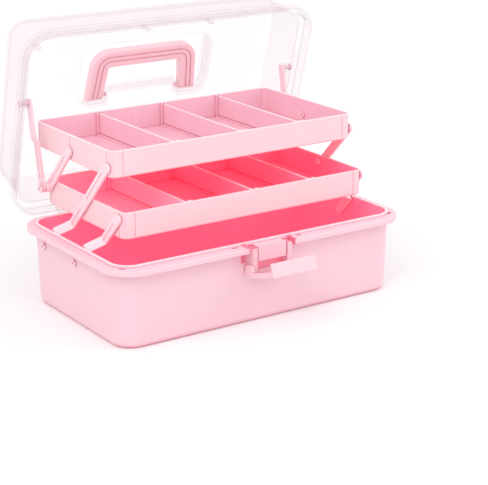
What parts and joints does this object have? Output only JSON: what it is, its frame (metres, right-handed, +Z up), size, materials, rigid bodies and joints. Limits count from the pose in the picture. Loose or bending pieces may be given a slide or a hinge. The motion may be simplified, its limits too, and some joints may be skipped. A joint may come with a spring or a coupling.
{
  "type": "cantilever tray storage box",
  "caption": "Storage box with a clear hinged lid, a folding carry handle, a flip latch and divided trays that rise and step back on cantilever arms as the lid opens.",
  "frame": {"origin": "middle of the tub's underside, on the surface that the box stands on", "axes": "+X to the right along the box's length, +Y to the rear where the lid hinges, +Z up"},
  "size_m": [0.3208, 0.296, 0.2624],
  "materials": {
    "tub_plastic": "smooth moulded pink",
    "tray_plastic": "smooth moulded pink",
    "clear_plastic": "clear",
    "handle_plastic": "smooth moulded pink",
    "latch_plastic": "smooth moulded pink",
    "divider_plastic": "smooth moulded pink",
    "arm_plastic": "smooth moulded pink",
    "rod_steel": "drawn"
  },
  "bodies": {
    "base": {"base_box": "tub_plastic", "hinge_rod_left": "rod_steel", "hinge_rod_right": "rod_steel"},
    "lid": {"lid_shell": "clear_plastic"},
    "handle": {"carry_handle": "handle_plastic"},
    "latch": {"front_latch": "latch_plastic"},
    "middle_tray": {"middle_tray": "tray_plastic", "middle_divider_1": "divider_plastic", "middle_divider_2": "divider_plastic", "middle_divider_3": "divider_plastic"},
    "top_tray": {"top_tray": "tray_plastic", "top_divider_1": "divider_plastic", "top_divider_2": "divider_plastic", "top_divider_3": "divider_plastic"},
    "long_arm_left": {"long_arm_left": "arm_plastic"},
    "long_arm_right": {"long_arm_right": "arm_plastic"},
    "front_arm_left": {"front_arm_left": "arm_plastic"},
    "front_arm_right": {"front_arm_right": "arm_plastic"},
    "rear_arm_left": {"rear_arm_left": "arm_plastic"},
    "rear_arm_right": {"rear_arm_right": "arm_plastic"},
    "lid_link_left": {"lid_link_left": "arm_plastic"},
    "lid_link_right": {"lid_link_right": "arm_plastic"}
  },
  "joints": [
    {"name": "lid_hinge", "type": "hinge", "parent": "base", "child": "lid", "pos_m": [0, 0.0986, 0.0681], "axis": [1, 0, 0], "range_deg": [0, 74.7]},
    {"name": "handle_swing", "type": "hinge", "parent": "lid", "child": "handle", "pos_m": [0, 0.1345, 0.176], "axis": [-1, 0, 0], "range_deg": [0, 90]},
    {"name": "latch_swing", "type": "hinge", "parent": "base", "child": "latch", "pos_m": [0, -0.0935, 0.0525], "axis": [-1, 0, 0], "range_deg": [0, 73]},
    {"name": "long_arm_left_pivot", "type": "hinge", "parent": "base", "child": "long_arm_left", "pos_m": [0, 0.0558, 0.0603], "axis": [1, 0, 0], "range_deg": [0, 28.4]},
    {"name": "front_arm_left_pivot", "type": "hinge", "parent": "base", "child": "front_arm_left", "pos_m": [0, -0.0032, 0.0603], "axis": [1, 0, 0], "range_deg": [0, 28.4]},
    {"name": "long_arm_right_pivot", "type": "hinge", "parent": "base", "child": "long_arm_right", "pos_m": [0, 0.0558, 0.0603], "axis": [1, 0, 0], "range_deg": [0, 28.4]},
    {"name": "front_arm_right_pivot", "type": "hinge", "parent": "base", "child": "front_arm_right", "pos_m": [0, -0.0032, 0.0603], "axis": [1, 0, 0], "range_deg": [0, 28.4]},
    {"name": "middle_tray_pivot", "type": "hinge", "parent": "long_arm_left", "child": "middle_tray", "pos_m": [0, 0.00733, 0.10997], "axis": [1, 0, 0], "range_deg": [-28.4, 0]},
    {"name": "top_tray_pivot", "type": "hinge", "parent": "long_arm_left", "child": "top_tray", "pos_m": [0, -0.03388, 0.15219], "axis": [1, 0, 0], "range_deg": [-28.4, 0]},
    {"name": "rear_arm_left_pivot", "type": "hinge", "parent": "middle_tray", "child": "rear_arm_left", "pos_m": [0, 0.07643, 0.10997], "axis": [1, 0, 0], "range_deg": [0, 28.4]},
    {"name": "lid_link_left_pivot", "type": "hinge", "parent": "lid", "child": "lid_link_left", "pos_m": [0, 0.09136, 0.18856], "axis": [1, 0, 0], "range_deg": [0, 17.7]},
    {"name": "rear_arm_right_pivot", "type": "hinge", "parent": "middle_tray", "child": "rear_arm_right", "pos_m": [0, 0.07643, 0.10997], "axis": [1, 0, 0], "range_deg": [0, 28.4]},
    {"name": "lid_link_right_pivot", "type": "hinge", "parent": "lid", "child": "lid_link_right", "pos_m": [0, 0.09136, 0.18856], "axis": [1, 0, 0], "range_deg": [0, 17.7]}
  ],
  "couplings": [
    {"joint": "long_arm_left_pivot", "follows": "lid_hinge", "ratio": 0.37791},
    {"joint": "front_arm_left_pivot", "follows": "lid_hinge", "ratio": 0.37791},
    {"joint": "long_arm_right_pivot", "follows": "lid_hinge", "ratio": 0.37791},
    {"joint": "front_arm_right_pivot", "follows": "lid_hinge", "ratio": 0.37791},
    {"joint": "middle_tray_pivot", "follows": "lid_hinge", "ratio": -0.37791},
    {"joint": "top_tray_pivot", "follows": "lid_hinge", "ratio": -0.37791},
    {"joint": "rear_arm_left_pivot", "follows": "lid_hinge", "ratio": 0.37791},
    {"joint": "lid_link_left_pivot", "follows": "lid_hinge", "ratio": 0.23425},
    {"joint": "rear_arm_right_pivot", "follows": "lid_hinge", "ratio": 0.37791},
    {"joint": "lid_link_right_pivot", "follows": "lid_hinge", "ratio": 0.23425}
  ]
}
